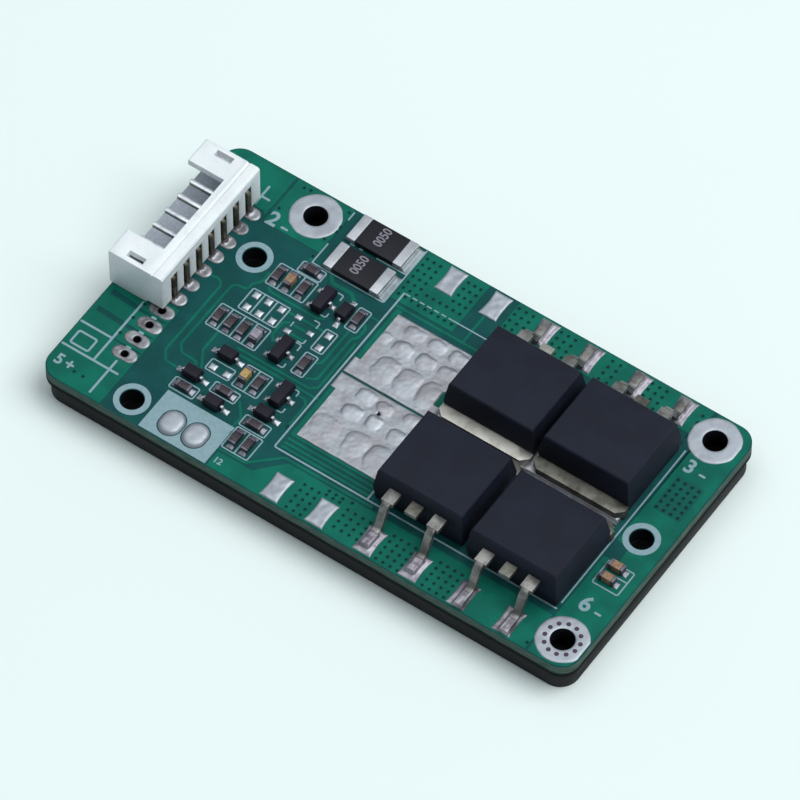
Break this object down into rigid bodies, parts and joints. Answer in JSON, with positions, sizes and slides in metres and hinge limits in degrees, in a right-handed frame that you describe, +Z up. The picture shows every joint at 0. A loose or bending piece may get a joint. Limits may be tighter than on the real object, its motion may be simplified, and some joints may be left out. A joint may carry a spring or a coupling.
{
  "type": "battery management board",
  "caption": "Flat circuit board on a black backing plate, with power transistors, shunts, a right-angle cell-lead header and wide holes for the battery and load wires.",
  "frame": {"origin": "centre of the backing plate's lower face, under the middle of the circuit board", "axes": "+X along the board's long side from the header towards the load and charger terminals, +Y from the charger edge to the battery edge, +Z up out of the component side"},
  "size_m": [0.0603, 0.032, 0.0089],
  "materials": {
    "solder_mask": "green solder mask over glass-fibre board, satin gloss",
    "black_anodised": "black anodised, fine matt",
    "black_film": "matt bonding film",
    "white_nylon": "moulded nylon, satin",
    "header_pin": "tin-plated brass, bright",
    "solder": "reflowed tin, soft shine",
    "lead_frame": "tin-plated copper, matt",
    "black_epoxy": "moulded epoxy, fine grain",
    "shunt_coating": "black lacquer",
    "resistor_glaze": "dark glaze",
    "capacitor_ceramic": "fired ceramic, matt"
  },
  "bodies": {
    "root": {"circuit_board": "solder_mask", "backing_plate": "black_anodised", "bonding_film": "black_film", "header_housing": "white_nylon", "header_pads": "solder", "header_joints": "solder", "header_pin_1": "header_pin", "header_pin_2": "header_pin", "header_pin_3": "header_pin", "header_pin_4": "header_pin", "header_pin_5": "header_pin", "header_pin_6": "header_pin", "header_pin_7": "header_pin", "battery_terminal": "solder", "load_terminal": "solder", "charger_terminal": "solder", "far_tinned_area": "solder", "near_tinned_area": "solder", "far_lead_lands": "solder", "near_lead_lands": "solder", "switch_joints": "solder", "mosfet_body_1": "black_epoxy", "mosfet_body_2": "black_epoxy", "mosfet_body_3": "black_epoxy", "mosfet_body_4": "black_epoxy", "drain_tab_1": "lead_frame", "drain_tab_2": "lead_frame", "drain_tab_3": "lead_frame", "drain_tab_4": "lead_frame", "gate_lead_1": "lead_frame", "gate_lead_2": "lead_frame", "gate_lead_3": "lead_frame", "gate_lead_4": "lead_frame", "source_lead_1": "lead_frame", "source_lead_2": "lead_frame", "source_lead_3": "lead_frame", "source_lead_4": "lead_frame", "shunt_body_1": "shunt_coating", "shunt_body_2": "shunt_coating", "shunt_ends_1": "solder", "shunt_ends_2": "solder", "shunt_lands": "solder", "resistor_bodies": "resistor_glaze", "resistor_ends": "solder", "capacitor_bodies": "capacitor_ceramic", "capacitor_ends": "solder", "transistor_bodies": "black_epoxy", "transistor_leads": "lead_frame", "diode_bodies": "black_epoxy", "diode_leads": "lead_frame", "small_lands": "solder"}
  },
  "joints": []
}
